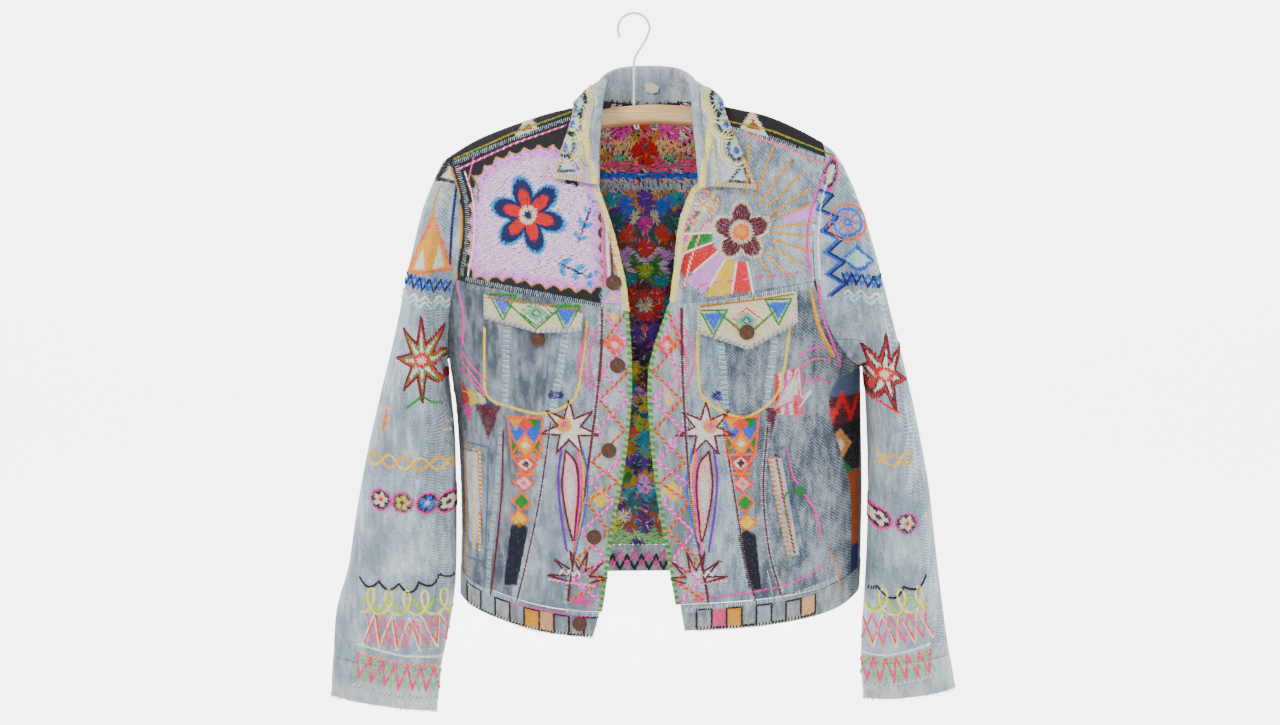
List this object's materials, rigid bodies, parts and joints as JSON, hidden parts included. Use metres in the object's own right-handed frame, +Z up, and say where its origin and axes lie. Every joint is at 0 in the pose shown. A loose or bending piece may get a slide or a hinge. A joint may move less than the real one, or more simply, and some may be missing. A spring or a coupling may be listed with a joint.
{
  "type": "embroidered denim jacket on a wooden coat hanger",
  "caption": "Short denim trucker jacket hanging open on a curved wooden coat hanger, every panel worked with dense coloured hand embroidery.",
  "frame": {"origin": "inside the top of the hanger's hook, where a rail carries it", "axes": "+Z up, -Y out of the jacket's front, +X towards the wearer's left sleeve"},
  "size_m": [0.741, 0.1957, 0.8177],
  "materials": {
    "denim": "light-washed cotton twill",
    "denim_doubled": "light-washed cotton twill, doubled",
    "embroidery": "dense hand embroidery in cotton thread",
    "button": "dark worn copper-brown",
    "wood": "clear varnish",
    "wire": "white enamelled steel wire"
  },
  "bodies": {
    "root": {"back_centre": "denim", "back_side_L": "denim", "back_side_R": "denim", "back_yoke": "embroidery", "collar": "denim_doubled", "cuff_L": "denim_doubled", "cuff_R": "denim_doubled", "cuff_button_L": "button", "cuff_button_R": "button", "front_band_L": "denim_doubled", "front_band_R": "denim_doubled", "front_button_1": "button", "front_button_2": "button", "front_button_3": "button", "front_button_4": "button", "front_button_5": "button", "front_centre_L": "denim", "front_centre_R": "denim", "front_middle_L": "denim", "front_middle_R": "denim", "front_side_L": "denim", "front_side_R": "denim", "front_yoke_L": "denim", "front_yoke_R": "denim", "hanger": "wood", "hook": "wire", "pocket_button_L": "button", "pocket_button_R": "button", "pocket_flap_L": "denim_doubled", "pocket_flap_R": "denim_doubled", "pocket_welt_L": "denim_doubled", "pocket_welt_R": "denim_doubled", "sleeve_under_L": "denim", "sleeve_under_R": "denim", "sleeve_upper_L": "denim", "sleeve_upper_R": "denim", "turned_corner": "denim", "waistband": "denim_doubled"}
  },
  "joints": []
}
